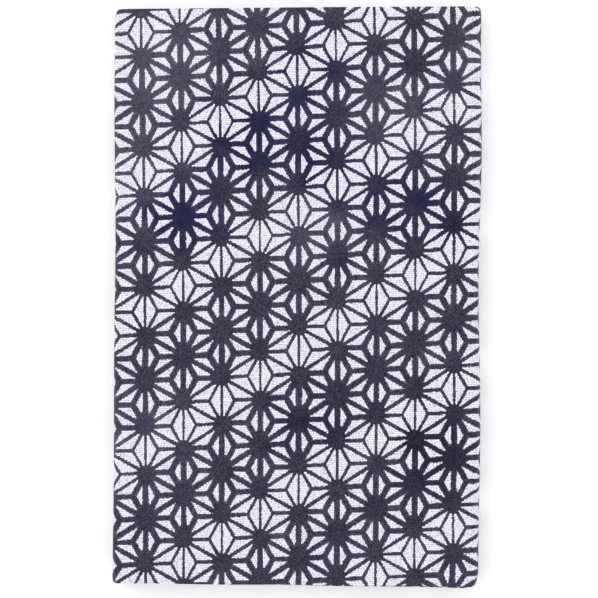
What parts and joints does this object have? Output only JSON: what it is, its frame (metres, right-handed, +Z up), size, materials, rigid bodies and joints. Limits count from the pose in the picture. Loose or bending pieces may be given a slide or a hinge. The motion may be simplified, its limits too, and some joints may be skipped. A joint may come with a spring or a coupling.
{
  "type": "folded cotton hand towel",
  "caption": "Thin plain-woven cotton hand towel with a star lattice print, folded flat into a neat oblong pad for display or storage.",
  "frame": {"origin": "middle of the pad's base, on the surface that it lies on", "axes": "+X across the pad, along the cloth's length; +Y along the pad, across the cloth's width, towards the folded short edge; +Z up, out of the face"},
  "size_m": [0.1122, 0.1768, 0.0105],
  "materials": {
    "printed_cotton": "matte plain-woven cotton, white with a navy star lattice"
  },
  "bodies": {
    "root": {"folded_towel": "printed_cotton"}
  },
  "joints": []
}
